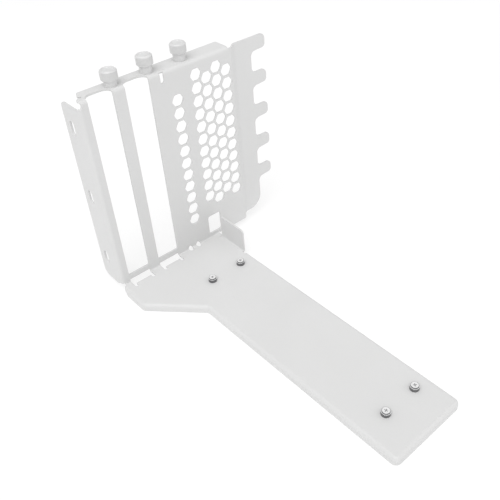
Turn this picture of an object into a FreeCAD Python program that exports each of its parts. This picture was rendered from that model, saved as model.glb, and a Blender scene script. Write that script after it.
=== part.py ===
import FreeCAD, Part
import math
import os

# Vertical expansion-card mount: one folded steel sheet (slotted panel, side
# flange, top ledge, hook plate, riser tray with a turned-down rim, gusset tab),
# three captive thumb screws and four riser-card standoffs with their screws.
# Working axes, mm: X right along the panel, Y to the back, Z up.
# X = 0 left edge of the first card slot, Y = 0 front face of the panel,
# Z = 0 bottom of the card slots. Everything is moved to the bottom centre of
# the whole mount at the end.

# ---------------------------------------------------------------- dimensions
T = 1.0                       # sheet thickness
RI = 1.0                      # inside bend radius
RO = RI + T                   # outside bend radius

PITCH = 20.32                 # expansion-slot pitch
SLOT_W = 13.7                 # card slot width
SLOT_R = 4.2                  # corners of a card slot's upper end
SLOT_TOP = 111.75             # height of that end, laid flat
SLOT_CORNER_R = 0.8
N_SLOTS = 2                   # open card slots

PANEL_LEFT = -3.2             # where the left bend starts
PANEL_RIGHT = 86.0            # where the offset bend starts
FOLD_TOP_Z = 106.5            # where the top bend starts
FOLD_LOW_Z = -4.2             # where the tray bend starts

LEDGE_TOP = FOLD_TOP_Z + RO   # 108.5
LEDGE_BACK = 11.1
LEDGE_RIGHT = 84.5
# free left end of the ledge, from its back corner to the top bend
LEDGE_LEFT = [(0.2, 10.5, 0.8), (-0.5, 9.2, 1.5), (-1.15, 7.9, 1.0), (-1.2, 6.3, 0.6), (-1.95, 5.4, 0.6),
              (-2.35, 4.35, 0.5), (-3.2, 3.9, 0.4), (-3.85, 3.15, 0.6), (-3.9, RO, 0)]
# the same end seen from the front: a small ear of the bend, a notch under it
BEND_LEFT = [(-3.9, 108.9, 0), (-4.15, 108.3, 0.2), (-4.1, 107.98, 0.15), (-3.52, 107.75, 0.3), (-3.3, 106.9, 0.3), (-3.3, 106.2, 0)]
# and the run from the panel's left edge down to the flange
FLANGE_RUN = [(-3.3, FOLD_TOP_Z, 0), (-3.32, 105.7, 0.5), (-3.95, 104.85, 0.8), (-4.7, 104.45, 0.6), (-5.25, 103.9, 0)]
STRIP_TOP = 107.5             # panel top beside the ledge

# hexagonal vents
VENT_AF = 6.6
VENT_CORNER = 1.5
VENT_P = 7.654
VENT_A = (49.04, 90.45)       # single column: x, first z
VENT_B = (61.88, 100.38)      # block of four columns: x, first z
VENT_ROWS = 11

# window beside the tray, relief slit at the top of the panel
WINDOW = (58.1, 67.3, -2.5, 10.1, 1.3)
SLIT_X0, SLIT_X1, SLIT_Z = 40.5, 42.7, 102.4

# offset bend and hook plate
JOG_END = 89.5
JOG = 1.5
PLATE_TOP = 108.4
BAY_X = 100.9
TIP_X = 111.2
HOOK_Z = [104.3, 83.95, 63.6, 43.25, 22.9]
EAR_BOTTOM = -5.3
EAR_LEFT = 65.8
EAR_RIGHT = 87.9

# left flange
FL_X = PANEL_LEFT - RO        # outer face, -5.2
FL_BACK = 18.7
FL_TOP = 103.9
FL_BOTTOM = -5.8
FL_SLOT_Y = 11.8
FL_SLOT_Z = [91.3, 50.66, 10.02]
FL_SLOT_W = 4.0
FL_SLOT_L = 8.0

# tray
TRAY_TOP = FOLD_LOW_Z - RI    # -5.2
RIM_BOTTOM = -9.7
TRAY_L = -5.7
TRAY_L_Y = -21.0
TRAY_IN_X = 19.0
TRAY_IN_Y = -47.6
TRAY_END = -179.1
TRAY_R = 65.0
TRAY_BACK = -1.0              # start of the bend up to the panel
RIM_R_START = -27.0           # the right-hand rim starts here
BEND_X0, BEND_X1 = -3.2, 65.0 # span of the tray bend

# tongue slots in the tray bend
TONGUE_Z = -3.4
TONGUE_Y = -3.05
NOTCH_Y = -5.6
NOTCH_W = 1.8

# gusset tab
GUS_Y0, GUS_Y1 = -24.9, -4.2
GUS_TOP = 9.7
GUS_RELIEF = 0.8

# thumb screws
TS_X = [16.3, 36.62, 56.94]
TS_Y = 5.8
TS_R = 1.75                   # shank
TS_NECK = 3.2
TS_HEAD = 4.3
TS_H = 9.25                   # height above the ledge
TS_DOWN = [1.05, 0.0, 0.0]    # how much further each knob is run down on its collar
TS_KNURLS = 44

# riser standoffs
SO_X = [34.5, 55.2]
SO_Y = [-32.4, -159.7]
SO_R = 2.4
SO_H = 2.0
SO_BORE = 1.3
SC_HEAD_R = 2.05
SC_HEAD_H = 0.6

V = FreeCAD.Vector


# ------------------------------------------------------------------- helpers
def xz(y):
    return lambda a, b: V(a, y, b)


def yz(x):
    return lambda a, b: V(x, a, b)


def xy(z):
    return lambda a, b: V(a, b, z)


def outline(pts, m):
    """Closed wire through (a, b, corner radius) points; m maps them to 3-D."""
    n = len(pts)
    corners = []
    for i in range(n):
        px, py, pr = pts[i - 1]
        x, y, r = pts[i]
        nx, ny, nr = pts[(i + 1) % n]
        if r <= 0:
            corners.append(((x, y), None, (x, y)))
            continue
        ax, ay = px - x, py - y
        bx, by = nx - x, ny - y
        la, lb = math.hypot(ax, ay), math.hypot(bx, by)
        ax, ay, bx, by = ax / la, ay / la, bx / lb, by / lb
        half = math.acos(max(-1.0, min(1.0, ax * bx + ay * by))) / 2.0
        t = r / math.tan(half)
        cx, cy = ax + bx, ay + by
        lc = math.hypot(cx, cy)
        d = r / math.sin(half)
        ox, oy = x + cx / lc * d, y + cy / lc * d
        mx, my = x + cx / lc * (d - r), y + cy / lc * (d - r)
        corners.append(((x + ax * t, y + ay * t), (mx, my), (x + bx * t, y + by * t)))
    edges = []
    for i in range(n):
        a, mid, b = corners[i]
        if mid:
            edges.append(Part.Arc(m(*a), m(*mid), m(*b)).toShape())
        c = corners[(i + 1) % n][0]
        if math.hypot(c[0] - b[0], c[1] - b[1]) > 1e-6:
            edges.append(Part.makeLine(m(*b), m(*c)))
    return Part.Wire(edges)


def prism(pts, m, d, holes=()):
    wires = [outline(pts, m)] + [outline(h, m) for h in holes]
    face = Part.Face(wires[0])
    if len(wires) > 1:
        face = Part.Face(wires)
        face.validate()
    return face.extrude(d)


def box(x0, x1, y0, y1, z0, z1):
    return Part.makeBox(x1 - x0, y1 - y0, z1 - z0, V(x0, y0, z0))


def cyl(r, h, base, axis=None):
    return Part.makeCylinder(r, h, base, axis or V(0, 0, 1))


def hexagon(cx, cy, af, r):
    rr = af / math.sqrt(3.0)
    return [(cx + rr * math.cos(math.radians(60 * k)), cy + rr * math.sin(math.radians(60 * k)), r) for k in range(6)]


def obround(cx, cy, w, l):
    """Slot of width w along a, length l along b."""
    r = w / 2.0 - 1e-4
    return [(cx - w / 2, cy - l / 2, r), (cx + w / 2, cy - l / 2, r), (cx + w / 2, cy + l / 2, r), (cx - w / 2, cy + l / 2, r)]


def bend(axis_pt, axis_dir, length, start, angle, r0=RI, r1=RO):
    """Quarter-ring style bend: start is the unit vector of the first radius."""
    p = axis_pt
    f = Part.Wire([
        Part.makeLine(p + start * r0, p + start * r1),
        Part.makeLine(p + start * r1, p + start * r1 + axis_dir * length),
        Part.makeLine(p + start * r1 + axis_dir * length, p + start * r0 + axis_dir * length),
        Part.makeLine(p + start * r0 + axis_dir * length, p + start * r0)])
    return Part.Face(f).revolve(p, axis_dir, angle)


# ------------------------------------------------- panel, offset, hook plate
ang = math.atan2(JOG, JOG_END - PANEL_RIGHT)
sh = T * math.tan(ang / 2.0)
profile = [(PANEL_LEFT, 0, 0), (PANEL_RIGHT, 0, RO), (JOG_END, JOG, RI), (130, JOG, 0),
           (130, JOG + T, 0), (JOG_END - sh, JOG + T, RO), (PANEL_RIGHT - sh, T, RI), (PANEL_LEFT, T, 0)]
slab = prism(profile, xy(-20.0), V(0, 0, 150))

panel = [(PANEL_LEFT, FOLD_LOW_Z, 0), (BEND_X1, FOLD_LOW_Z, 0), (BEND_X1, -3.4, 0), (EAR_LEFT, -3.4, 0),
         (EAR_LEFT, EAR_BOTTOM, 0), (EAR_RIGHT, EAR_BOTTOM, 0.5), (EAR_RIGHT, -2.0, 0.3),
         (BAY_X + 0.4, -2.0, 8.5)]
for i in range(4, -1, -1):
    zc = HOOK_Z[i]
    root = BAY_X + 0.4 if i == 4 else BAY_X
    panel.append((root, zc - 4.3, 3.0))
    panel.append((TIP_X, zc - 3.7, 2.2))
    if i:
        panel.append((TIP_X, zc + 3.9, 3.0))
        panel.append((BAY_X, zc + 4.0, 3.0))
    else:
        panel.append((TIP_X, PLATE_TOP, 3.0))
panel += [(88.2, PLATE_TOP, 1.0), (87.4, STRIP_TOP, 1.0), (LEDGE_RIGHT, STRIP_TOP, 0), (LEDGE_RIGHT, FOLD_TOP_Z, 0),
          (PANEL_LEFT, FOLD_TOP_Z, 0)]

holes = []
for r in range(VENT_ROWS):
    holes.append(hexagon(VENT_A[0], VENT_A[1] - VENT_P * r, VENT_AF, VENT_CORNER))
for c in range(4):
    for r in range(VENT_ROWS):
        holes.append(hexagon(VENT_B[0] + math.sqrt(3) / 2 * VENT_P * c,
                             VENT_B[1] - VENT_P * (r + 0.5 * (c % 2)), VENT_AF, VENT_CORNER))
wx0, wx1, wz0, wz1, wr = WINDOW
holes.append([(wx0, wz0, wr), (wx1, wz0, wr), (wx1, wz1, wr), (wx0, wz1, wr)])
plate = prism(panel, xz(-10.0), V(0, 25, 0), holes)
body = slab.common(plate)

# ------------------------------------------------------------ ledge on top
top_axis = V(PANEL_LEFT, RO, FOLD_TOP_Z)
top_bend = bend(top_axis + V(-1.5, 0, 0), V(1, 0, 0), LEDGE_RIGHT - PANEL_LEFT + 1.5, V(0, -1, 0), -90)
top_bend = top_bend.common(prism(BEND_LEFT + [(90, 106.2, 0), (90, 108.9, 0)], xz(-1.0), V(0, 4, 0)))
ledge = prism([(LEDGE_RIGHT, RO, 0), (LEDGE_RIGHT, LEDGE_BACK, 1.0)] + LEDGE_LEFT, xy(LEDGE_TOP - T), V(0, 0, T))

# ------------------------------------------------------------- left flange
fl_z0 = -4.0
left_bend = bend(V(PANEL_LEFT, RO, fl_z0), V(0, 0, 1), FOLD_TOP_Z - fl_z0, V(0, -1, 0), -90)
left_bend = left_bend.common(prism(FLANGE_RUN + [(-6.5, 103.9, 0), (-6.5, -6, 0), (PANEL_LEFT, -6, 0), (PANEL_LEFT, FOLD_TOP_Z, 0)],
                                   xz(-1.0), V(0, 4, 0)))
flange = prism([(RO, fl_z0, 0), (RO + 3.0, FL_BOTTOM, 2.0), (FL_BACK, FL_BOTTOM, 4.0), (FL_BACK, FL_TOP, 3.5), (RO, FL_TOP, 0)],
               yz(FL_X), V(T, 0, 0),
               [obround(FL_SLOT_Y, z, FL_SLOT_W, FL_SLOT_L) for z in FL_SLOT_Z])

# -------------------------------------------------- tray with turned-down rim
def tray_outline(inset, back):
    i = inset
    # the diagonal run, moved inwards by the inset
    dx, dy = TRAY_IN_X - TRAY_L, TRAY_IN_Y - TRAY_L_Y
    ln = math.hypot(dx, dy)
    nx, ny = -dy / ln, dx / ln            # inward normal
    ax, ay = TRAY_L + nx * i, TRAY_L_Y + ny * i
    def at_x(x):
        return ay + (x - ax) * dy / dx
    xl, xi = TRAY_L + i, TRAY_IN_X + i
    r = max(3.0 - i, 0.6)
    return [(xl, back, 0), (xl, at_x(xl), r + 1.0), (xi, at_x(xi), 3.0 + i), (xi, TRAY_END + i, r),
            (TRAY_R - i, TRAY_END + i, r), (TRAY_R - i, back, 0)]


def pan(inset, z0, z1, rad, back):
    p = prism(tray_outline(inset, back), xy(z0), V(0, 0, z1 - z0))
    top = [e for e in p.Edges if abs(e.BoundBox.ZMin - z1) < 1e-6 and abs(e.BoundBox.ZMax - z1) < 1e-6
           and e.BoundBox.YMin < back - 0.01]
    return p.makeFillet(rad, top)


tray = pan(0.0, RIM_BOTTOM, TRAY_TOP, RO, 12.0).cut(pan(T, RIM_BOTTOM - 3.0, TRAY_TOP - T, RI, 14.0))
tray = tray.cut(box(-20, 90, TRAY_BACK, 30, -20, 5))
# left rim ends in a slanted edge beside the panel
tray = tray.cut(prism([(1.0, -4.8, 0), (-1.4, -5.4, 0), (-4.3, -8.2, 2.0), (-4.9, -12.0, 0), (2.0, -12.0, 0)], yz(-8.0), V(4.0, 0, 0)))
# sheet at the tray's back corners: flat up to the panel bend and the gusset bend
tray = tray.cut(box(TRAY_R - RO, 90, RIM_R_START, 5, -20, 5))
flat_b = box(TRAY_R - RO - 0.2, BEND_X1, GUS_Y1 + GUS_RELIEF, TRAY_BACK, TRAY_TOP - T, TRAY_TOP)

# bend from the tray up to the panel
low_bend = bend(V(BEND_X0, TRAY_BACK, FOLD_LOW_Z), V(1, 0, 0), BEND_X1 - BEND_X0, V(0, 0, -1), 90)

# ---------------------------------------------------------------- gusset tab
gus_bend = bend(V(TRAY_R - RO, GUS_Y0, FOLD_LOW_Z), V(0, 1, 0), GUS_Y1 - GUS_Y0, V(0, 0, -1), -90)
gusset = prism([(GUS_Y0, FOLD_LOW_Z, 0), (GUS_Y1, FOLD_LOW_Z, 0), (GUS_Y1, GUS_TOP, 0.8), (GUS_Y0, GUS_TOP, 2.2)],
               yz(TRAY_R - T), V(T, 0, 0))

for s in (top_bend, ledge, left_bend, flange, tray, flat_b, low_bend, gus_bend, gusset):
    body = body.fuse(s)

# tapped holes of the thumb screws
for x in TS_X:
    body = body.cut(cyl(TS_R + 0.05, 6.0, V(x, TS_Y, LEDGE_TOP - 4.0)))

# --------------------------------------------------------------- card slots
mid_r = RI + T / 2.0
half = SLOT_W / 2.0
s_c = SLOT_TOP - SLOT_R - FOLD_TOP_Z      # the corners' centres along the sheet, from the bend's start
top_y = RO + (SLOT_TOP - FOLD_TOP_Z) - mid_r * math.pi / 2.0
for k in range(N_SLOTS):
    x0 = PITCH * k
    xc = x0 + half
    low = prism([(x0, 0, SLOT_CORNER_R), (x0 + SLOT_W, 0, SLOT_CORNER_R), (x0 + SLOT_W, FOLD_TOP_Z, 0), (x0, FOLD_TOP_Z, 0)],
                xz(-1.0), V(0, 2.6, 0))
    # over the bend the edges run along radii, as a hole cut before folding
    wires = []
    steps = 12
    for i in range(steps + 1):
        phi = math.radians(90.0 * i / steps)
        up = max(0.0, mid_r * phi - s_c)
        w = half - SLOT_R + math.sqrt(SLOT_R ** 2 - up ** 2)
        d = V(0, -math.cos(phi), math.sin(phi))
        c = V(xc, RO, FOLD_TOP_Z)
        a, b = c + d * (RI - 0.3), c + d * (RO + 0.4)
        ex = V(w, 0, 0)
        wires.append(Part.makePolygon([a - ex, a + ex, b + ex, b - ex, a - ex]))
    over = Part.makeLoft(wires, True, True)
    back = prism([(x0, RO - 8.0, 0), (x0 + SLOT_W, RO - 8.0, 0), (x0 + SLOT_W, top_y, SLOT_R), (x0, top_y, SLOT_R)],
                 xy(LEDGE_TOP - 1.4), V(0, 0, 2.0)).common(box(x0 - 1, x0 + 20, RO, 9, 100, 115))
    for s in (low, over, back):
        body = body.cut(s)
    # tongue slot across the tray bend, with two narrow relief notches
    t0, t1 = x0 + 0.2, x0 + SLOT_W
    body = body.cut(box(t0, t1, TONGUE_Y, 3.0, -12.0, TONGUE_Z))
    for a in (t0, t1 - NOTCH_W):
        body = body.cut(prism([(a, 1.0, 0), (a, NOTCH_Y, NOTCH_W / 2 - 1e-4), (a + NOTCH_W, NOTCH_Y, NOTCH_W / 2 - 1e-4), (a + NOTCH_W, 1.0, 0)],
                              xy(-12.0), V(0, 0, 12.0 + TONGUE_Z)))

# relief slit at the top of the panel, over the start of the bend
w = SLIT_X1 - SLIT_X0
body = body.cut(prism([(SLIT_X0, SLIT_Z, w / 2 - 1e-4), (SLIT_X1, SLIT_Z, w / 2 - 1e-4), (SLIT_X1, FOLD_TOP_Z, 0), (SLIT_X0, FOLD_TOP_Z, 0)],
                      xz(-1.0), V(0, 3.0, 0)))
body = body.cut(bend(V(SLIT_X0, RO, FOLD_TOP_Z), V(1, 0, 0), w, V(0, -1, 0), -52, RI - 0.3, RO + 0.4))

# two round holes on the tray bend
for x in (42.9, 48.7):
    d = V(0, 1, -1)
    d.normalize()
    body = body.cut(cyl(1.6, 8.0, V(x, TRAY_BACK, FOLD_LOW_Z) - d * 2.0, d))

# relief hole where the ledge, flange and panel bends meet
body = body.cut(cyl(0.72, 3.0, V(-1.05, 4.8, LEDGE_TOP - 2.0)))

# seats of the riser standoffs
for x in SO_X:
    for y in SO_Y:
        body = body.cut(cyl(2.0, 4.0, V(x, y, TRAY_TOP - 2.5)))

body = body.removeSplitter()


# -------------------------------------------------------------- thumb screws
def lathe(pts, x, y):
    """Solid of revolution about the vertical line (x, y); pts are (r, z, fillet)."""
    w = outline(pts, lambda a, b: V(x + a, y, b))
    return Part.Face(w).revolve(V(x, y, 0), V(0, 0, 1), 360)


def cross_recess(x, y, z, span, width, depth):
    a = box(x - span / 2, x + span / 2, y - width / 2, y + width / 2, z - depth, z + 3)
    b = box(x - width / 2, x + width / 2, y - span / 2, y + span / 2, z - depth, z + 3)
    return a.fuse(b)


def thumb_screw(x, y, down):
    z = LEDGE_TOP
    h = z - down
    s = lathe([(0, z - 2.0, 0), (TS_R - 0.3, z - 2.0, 0), (TS_R, z - 1.7, 0), (TS_R, z, 0), (TS_NECK, z, 0), (TS_NECK, h + 3.6, 0.3),
               (TS_HEAD - 0.4, h + 4.0, 0.1), (TS_HEAD, h + 4.45, 0.2), (TS_HEAD, h + TS_H - 0.75, 0.5), (TS_HEAD - 0.75, h + TS_H, 0.35),
               (3.25, h + TS_H, 0.15), (2.75, h + TS_H - 0.45, 0.3), (0, h + TS_H - 0.45, 0)], x, y)
    for i in range(TS_KNURLS):
        g = Part.makePolygon([V(TS_HEAD - 0.18, 0, h + 3.7), V(TS_HEAD + 0.2, 0.36, h + 3.7), V(TS_HEAD + 0.2, -0.36, h + 3.7), V(TS_HEAD - 0.18, 0, h + 3.7)])
        g = Part.Face(g).extrude(V(0, 0, 6.0))
        g.rotate(V(0, 0, 0), V(0, 0, 1), 360.0 * i / TS_KNURLS)
        g.translate(V(x, y, 0))
        s = s.cut(g)
    return s


# ------------------------------------------------- riser standoffs and screws
def standoff(x, y):
    z = TRAY_TOP
    return lathe([(SO_BORE, z - T, 0), (1.95, z - T, 0), (1.95, z, 0), (SO_R, z, 0), (SO_R, z + SO_H, 0.08), (SO_BORE, z + SO_H, 0)], x, y)


def riser_screw(x, y, turn):
    z = TRAY_TOP + SO_H
    s = lathe([(0, z - 4.0, 0), (0.95, z - 4.0, 0), (1.22, z - 3.7, 0), (1.22, z, 0), (SC_HEAD_R, z, 0), (SC_HEAD_R, z + SC_HEAD_H, 0.15),
               (0, z + SC_HEAD_H, 0)], x, y)
    c = cross_recess(x, y, z + SC_HEAD_H, 1.9, 0.45, 0.4)
    c.rotate(V(x, y, 0), V(0, 0, 1), turn)
    return s.cut(c)


parts = {"bracket_body": body}
for i, x in enumerate(TS_X):
    parts["thumb_screw_%d" % (i + 1)] = thumb_screw(x, TS_Y, TS_DOWN[i])
n = 0
for y in SO_Y:
    for x in SO_X:
        n += 1
        parts["riser_standoff_%d" % n] = standoff(x, y)
        parts["riser_screw_%d" % n] = riser_screw(x, y, (35, -20, 10, 50)[n - 1])

# origin: bottom centre of the whole mount
box_x = (TRAY_L + TIP_X) / 2.0
box_y = (TRAY_END + FL_BACK) / 2.0
move = V(-box_x, -box_y, -RIM_BOTTOM)
print("move", move)

os.makedirs("parts", exist_ok=True)
for name, s in parts.items():
    s.translate(move)
    print(name, s.ShapeType, len(s.Solids), s.isValid(), round(s.Volume, 2), len(s.Faces))
    out = s.Solids[0] if len(s.Solids) == 1 else s
    out.exportStep("parts/%s.step" % name)
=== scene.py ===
import math

import bpy
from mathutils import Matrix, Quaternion, Vector

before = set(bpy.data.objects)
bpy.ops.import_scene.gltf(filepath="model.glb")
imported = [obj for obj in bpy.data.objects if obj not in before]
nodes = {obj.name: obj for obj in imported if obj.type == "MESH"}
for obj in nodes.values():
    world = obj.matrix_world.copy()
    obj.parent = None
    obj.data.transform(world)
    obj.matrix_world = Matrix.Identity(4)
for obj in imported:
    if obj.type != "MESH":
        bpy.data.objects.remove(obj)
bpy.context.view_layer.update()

scene = bpy.context.scene

# Places in the row frame, metres: the axes of the turned parts.
MOVE = Vector((-0.05275, 0.0802, 0.0097))
THUMB = Vector((0.03662, 0.0058, 0.0)) + MOVE        # middle thumb screw, pitch 20.32 mm in X
STAND = Vector((0.0345, -0.0324, 0.0)) + MOVE        # first standoff, pitch 20.7 mm in X and 127.3 mm in Y


# ------------------------------------------------------------- camera
cam_data = bpy.data.cameras.new("camera")
cam = bpy.data.objects.new("camera", cam_data)
scene.collection.objects.link(cam)
cam_data.sensor_fit = "HORIZONTAL"
cam_data.sensor_width = 36.0
cam_data.lens = 46.5923
cam_data.shift_x = -0.05
cam_data.shift_y = -0.012
cam_data.clip_start, cam_data.clip_end = 0.01, 50.0
cam.location = (-0.169887, -0.185323, 0.250957)
cam.rotation_mode = "QUATERNION"
cam.rotation_quaternion = Quaternion((0.8380057, 0.4084474, -0.139425, -0.3338829))
scene.camera = cam


# ------------------------------------------------------------- node helpers
class Net:
    """A material's node tree, built by short calls."""

    def __init__(self, name):
        self.mat = bpy.data.materials.new(name)
        self.mat.use_nodes = True
        self.t = self.mat.node_tree
        self.t.nodes.clear()
        self.out = self.t.nodes.new("ShaderNodeOutputMaterial")
        self.bsdf = self.t.nodes.new("ShaderNodeBsdfPrincipled")
        self.t.links.new(self.bsdf.outputs[0], self.out.inputs[0])

    def put(self, socket, value):
        if isinstance(value, bpy.types.NodeSocket):
            self.t.links.new(value, socket)
        elif value is not None:
            socket.default_value = value

    def node(self, kind, out=0, props=None, **inputs):
        n = self.t.nodes.new(kind)
        for k, v in (props or {}).items():
            setattr(n, k, v)
        for k, v in inputs.items():
            key = int(k[1:]) if k[0] == "i" and k[1:].isdigit() else k.replace("_", " ")
            self.put(n.inputs[key], v)
        return n.outputs[out]

    def math(self, op, a, b=None, c=None, clamp=False):
        n = self.t.nodes.new("ShaderNodeMath")
        n.operation, n.use_clamp = op, clamp
        for s, v in zip(n.inputs, (a, b, c)):
            self.put(s, v)
        return n.outputs[0]

    def vec(self, op, a, b=None, c=None, scale=None, out=0):
        n = self.t.nodes.new("ShaderNodeVectorMath")
        n.operation = op
        for s, v in zip(n.inputs, (a, b, c)):
            self.put(s, v)
        if scale is not None:
            self.put(n.inputs["Scale"], scale)
        return n.outputs[out]

    def noise(self, coords, scale, detail=2.0, rough=0.5, distort=0.0):
        return self.node("ShaderNodeTexNoise", 0, Vector=coords, Scale=scale, Detail=detail, Roughness=rough, Distortion=distort)

    def ramp(self, value, lo, hi, to_lo, to_hi, smooth=True):
        """value from lo..hi mapped to to_lo..to_hi."""
        n = self.t.nodes.new("ShaderNodeMapRange")
        n.interpolation_type = "SMOOTHSTEP" if smooth else "LINEAR"
        for s, v in zip(n.inputs, (value, lo, hi, to_lo, to_hi)):
            self.put(s, v)
        return n.outputs[0]

    def mix(self, f, a, b):
        """Colour between a and b."""
        n = self.t.nodes.new("ShaderNodeMix")
        n.data_type = "RGBA"
        self.put(n.inputs[0], f)
        self.put(n.inputs[6], a)
        self.put(n.inputs[7], b)
        return n.outputs[2]

    def object_coords(self):
        return self.node("ShaderNodeTexCoord", 3)

    def bump(self, height, distance, strength=1.0, normal=None):
        return self.node("ShaderNodeBump", 0, Height=height, Distance=distance, Strength=strength, Normal=normal)

    def edge(self, radius, samples=6):
        """(rounded normal, 0 on a flat face to 1 on a sharp edge)."""
        rounded = self.node("ShaderNodeBevel", 0, {"samples": samples}, Radius=radius)
        true = self.node("ShaderNodeNewGeometry", 3)
        d = self.vec("DOT_PRODUCT", rounded, true, out=1)
        return rounded, self.ramp(d, 0.995, 0.90, 0.0, 1.0)


def coat_sheet():
    """White powder coat: orange peel and a fine grain, a thinner brighter film on sheared edges."""
    n = Net("coated_sheet")
    b = n.bsdf.inputs
    p = n.object_coords()
    rounded, edge = n.edge(0.00022)
    cloud = n.noise(p, 28.0, 3.0, 0.55)
    drift = n.noise(p, 9.0, 2.0, 0.5)
    peel = n.noise(p, 620.0, 2.0, 0.5, 0.3)
    grain = n.noise(p, 2600.0, 3.0, 0.65)
    speck = n.node("ShaderNodeTexVoronoi", 0, {"feature": "F1"}, Vector=p, Scale=520.0, Randomness=1.0)
    dots = n.ramp(speck, 0.05, 0.13, 1.0, 0.0)
    thin = n.ramp(n.noise(p, 340.0, 3.0, 0.6), 0.35, 0.7, 0.35, 1.0)

    base = n.mix(n.ramp(cloud, 0.3, 0.7, 0.0, 1.0), (0.716, 0.716, 0.714, 1), (0.738, 0.738, 0.738, 1))
    base = n.mix(n.ramp(drift, 0.35, 0.65, 0.0, 0.5), base, (0.729, 0.729, 0.725, 1))
    base = n.mix(n.ramp(grain, 0.35, 0.75, 0.0, 0.35), base, (0.690, 0.690, 0.688, 1))
    base = n.mix(n.math("MULTIPLY", dots, 0.16), base, (0.600, 0.600, 0.598, 1))
    worn = n.math("MULTIPLY", edge, thin)
    base = n.mix(n.math("MULTIPLY", worn, 0.5), base, (0.790, 0.790, 0.788, 1))
    n.put(b["Base Color"], base)

    r = n.ramp(n.noise(p, 75.0, 4.0, 0.6), 0.3, 0.7, 0.40, 0.50)
    r = n.math("ADD", r, n.ramp(grain, 0.3, 0.7, -0.03, 0.05))
    r = n.math("SUBTRACT", r, n.math("MULTIPLY", worn, 0.06), clamp=True)
    n.put(b["Roughness"], r)
    b["Specular IOR Level"].default_value = 0.5
    b["IOR"].default_value = 1.5
    b["Coat Weight"].default_value = 0.0

    h = n.bump(peel, 0.00006, 0.55, rounded)
    h = n.bump(grain, 0.000012, 0.6, h)
    n.put(b["Normal"], h)
    return n.mat


def local(n, p, centre, pitch_x, pitch_y):
    """Coordinates from the nearest axis of a family of turned parts, and the radius from it."""
    q = n.vec("SUBTRACT", p, tuple(centre))
    s = n.node("ShaderNodeSeparateXYZ", 0, Vector=q).node
    x = n.math("WRAP", s.outputs[0], pitch_x / 2, -pitch_x / 2)
    y = s.outputs[1] if pitch_y is None else n.math("WRAP", n.math("ADD", s.outputs[1], 0.0), pitch_y / 2, -pitch_y / 2)
    flat = n.node("ShaderNodeCombineXYZ", 0, X=x, Y=y, Z=0.0)
    return flat, n.vec("LENGTH", flat, out=1), s.outputs[2]


def coat_screw():
    """Satin white lacquer on turned, knurled steel: lathe rings under the film, bright worn crests."""
    n = Net("coated_screw")
    b = n.bsdf.inputs
    p = n.object_coords()
    flat, radius, z = local(n, p, THUMB, 0.02032, None)
    rounded, edge = n.edge(0.00016)
    rings = n.math("SINE", n.math("MULTIPLY", radius, 2 * math.pi / 0.00022))
    turns = n.math("SINE", n.math("MULTIPLY", z, 2 * math.pi / 0.00028))
    wob = n.noise(p, 900.0, 3.0, 0.6)
    cloud = n.noise(p, 160.0, 3.0, 0.5)
    base = n.mix(n.ramp(cloud, 0.3, 0.7, 0.0, 1.0), (0.690, 0.690, 0.690, 1), (0.730, 0.730, 0.728, 1))
    base = n.mix(n.ramp(wob, 0.4, 0.75, 0.0, 0.3), base, (0.630, 0.630, 0.632, 1))
    worn = n.math("MULTIPLY", edge, n.ramp(wob, 0.3, 0.65, 0.2, 1.0))
    base = n.mix(n.math("MULTIPLY", worn, 0.55), base, (0.780, 0.780, 0.775, 1))
    n.put(b["Base Color"], base)
    r = n.math("ADD", n.ramp(cloud, 0.3, 0.7, 0.30, 0.38), n.ramp(wob, 0.3, 0.7, -0.03, 0.05), clamp=True)
    n.put(b["Roughness"], r)
    b["IOR"].default_value = 1.5
    h = n.bump(rings, 0.000004, 0.45, rounded)
    h = n.bump(turns, 0.000003, 0.35, h)
    h = n.bump(wob, 0.000012, 0.5, h)
    n.put(b["Normal"], h)
    return n.mat


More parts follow.
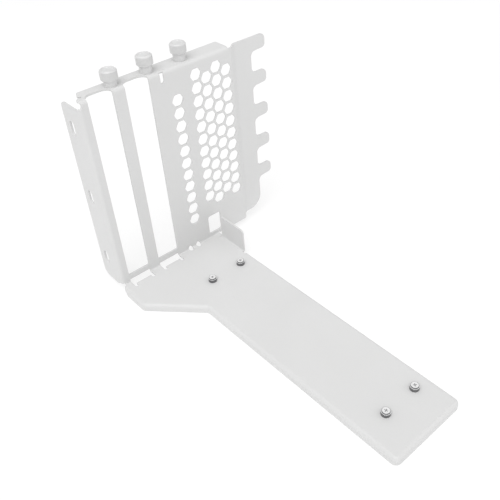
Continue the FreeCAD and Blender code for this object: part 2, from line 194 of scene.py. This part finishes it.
def plated(name, painted_wall_shade, top, tint, rough, ring, ring_height, recess=None, painted_recess_shade=None):
    """Plated, turned steel: painted highlight on the up-facing ends and painted shade on the walls (darker, standing in
    for shade and dark reflections), lathe rings and fine scratches.
    """
    n = Net(name)
    b = n.bsdf.inputs
    p = n.object_coords()
    flat, radius, z = local(n, p, STAND, 0.0207, 0.1273)
    rounded, edge = n.edge(0.00012)
    up = n.node("ShaderNodeSeparateXYZ", 2, Vector=n.node("ShaderNodeNewGeometry", 3))
    rings = n.math("SINE", n.math("MULTIPLY", radius, 2 * math.pi / ring))
    turns = n.math("SINE", n.math("MULTIPLY", z, 2 * math.pi / ring))
    cloud = n.noise(p, 420.0, 3.0, 0.6)
    fine = n.noise(p, 2600.0, 2.0, 0.6)
    # painted light mask: 1 on up-facing faces, which get the painted highlight, 0 on walls, which get painted shade
    painted_lit_top = n.ramp(up, 0.35, 0.85, 0.0, 1.0)
    if recess is not None:
        # painted shade: the bottom of the cross recess and a thin band round the head's rim keep the dark wall colour
        painted_lit_top = n.math("MULTIPLY", painted_lit_top, n.ramp(z, recess - 0.0001, recess, 0.0, 1.0))
        painted_lit_top = n.math("MULTIPLY", painted_lit_top, n.ramp(radius, 0.00182, 0.00192, 1.0, 0.0))
    # painted shade: the wall colour stands in for shade and dark reflections on the walls
    painted_shade_col = n.mix(n.ramp(cloud, 0.3, 0.7, 0.0, 1.0), painted_wall_shade, tuple(c * 1.35 for c in painted_wall_shade[:3]) + (1,))
    if painted_recess_shade is not None:
        # painted shade inside the head's recess, lighter than the walls
        painted_shade_col = n.mix(n.ramp(radius, 0.00165, 0.00185, 0.0, 1.0), painted_recess_shade, painted_shade_col)
    # painted highlight: the bright colour on up-facing faces
    painted_highlight_col = n.mix(n.ramp(cloud, 0.3, 0.7, 0.0, 1.0), top, tuple(c * 0.93 for c in top[:3]) + (1,))
    base = n.mix(painted_lit_top, painted_shade_col, painted_highlight_col)
    base = n.mix(n.ramp(fine, 0.5, 0.75, 0.0, 0.25), base, tint)
    n.put(b["Base Color"], base)
    # the up-facing ends, painted bright, scatter light like brushed zinc; the walls, painted dark, mirror more of it
    n.put(b["Metallic"], n.ramp(painted_lit_top, 0.0, 1.0, 1.0, 0.30))
    n.put(b["Roughness"], n.math("ADD", n.ramp(cloud, 0.3, 0.7, rough, rough + 0.07), n.ramp(fine, 0.3, 0.7, -0.03, 0.05), clamp=True))
    h = n.bump(rings, ring_height, 0.5, rounded)
    h = n.bump(turns, ring_height, 0.35, h)
    h = n.bump(fine, 0.000004, 0.4, h)
    n.put(b["Normal"], h)
    return n.mat


MATS = {
    "coated_sheet": coat_sheet(),
    "coated_screw": coat_screw(),
    # plated parts: the first colour is painted shade on the walls, the second a painted highlight on the ends;
    # plated_screw also gets painted shade in its recess
    "plated_standoff": plated("plated_standoff", (0.17, 0.17, 0.175, 1), (0.96, 0.96, 0.96, 1), (0.66, 0.66, 0.66, 1), 0.34, 0.00020, 0.000005),
    "plated_screw": plated("plated_screw", (0.14, 0.14, 0.145, 1), (0.94, 0.94, 0.94, 1), (0.70, 0.70, 0.70, 1), 0.34, 0.00016, 0.000003,
                           (-5.2 + 2.0 + 0.6 - 0.25) / 1000.0, (0.56, 0.56, 0.565, 1)),
}
for name, o in nodes.items():
    for s in o.material_slots:
        key = s.material.name.split(".")[0] if s.material else "coated_sheet"
        s.material = MATS[key]


# ------------------------------------------------------------- studio
def floor_material():
    """A pale light table: a matt white top that also glows a little, so openings read as open."""
    n = Net("studio_floor")
    b = n.bsdf.inputs
    p = n.object_coords()
    c = n.mix(n.ramp(n.noise(p, 3.0, 3.0, 0.5), 0.3, 0.7, 0.0, 1.0), (0.420, 0.420, 0.420, 1), (0.435, 0.435, 0.435, 1))
    n.put(b["Base Color"], c)
    b["Roughness"].default_value = 0.9
    b["Specular IOR Level"].default_value = 0.15
    b["Emission Color"].default_value = (1.0, 1.0, 1.0, 1.0)
    b["Emission Strength"].default_value = 0.60
    return n.mat


mesh = bpy.data.meshes.new("floor")
S = 6.0
mesh.from_pydata([(-S, -S, 0), (S, -S, 0), (S, S, 0), (-S, S, 0)], [], [(0, 1, 2, 3)])
floor = bpy.data.objects.new("floor", mesh)
scene.collection.objects.link(floor)
floor.data.materials.append(floor_material())
floor.location = (0, 0, -0.0001)

world = bpy.data.worlds.new("world")
scene.world = world
world.use_nodes = True
bg = world.node_tree.nodes.get("Background") or world.node_tree.nodes.new("ShaderNodeBackground")
bg.inputs[0].default_value = (1.0, 1.0, 1.0, 1.0)
bg.inputs[1].default_value = 0.6


def area(name, place, aim, size, power):
    d = bpy.data.lights.new(name, "AREA")
    d.shape = "DISK"
    d.size = size
    d.energy = power
    o = bpy.data.objects.new(name, d)
    scene.collection.objects.link(o)
    o.location = place
    o.rotation_mode = "QUATERNION"
    o.rotation_quaternion = (Vector(place) - Vector(aim)).to_track_quat("Z", "Y")
    return o


area("key", (-1.260, -0.690, 2.640), (0.0, 0.0, 0.0), 2.60, 42.6)
area("fill", (1.400, -1.600, 1.600), (0.0, 0.0, 0.0), 2.00, 5.5)
area("top", (0.0, 0.06, 0.55), (0.0, 0.02, 0.0), 0.35, 0.17)


scene.view_settings.view_transform = "Standard"
scene.view_settings.look = "None"
scene.view_settings.exposure = 0.0
scene.view_settings.gamma = 1.0
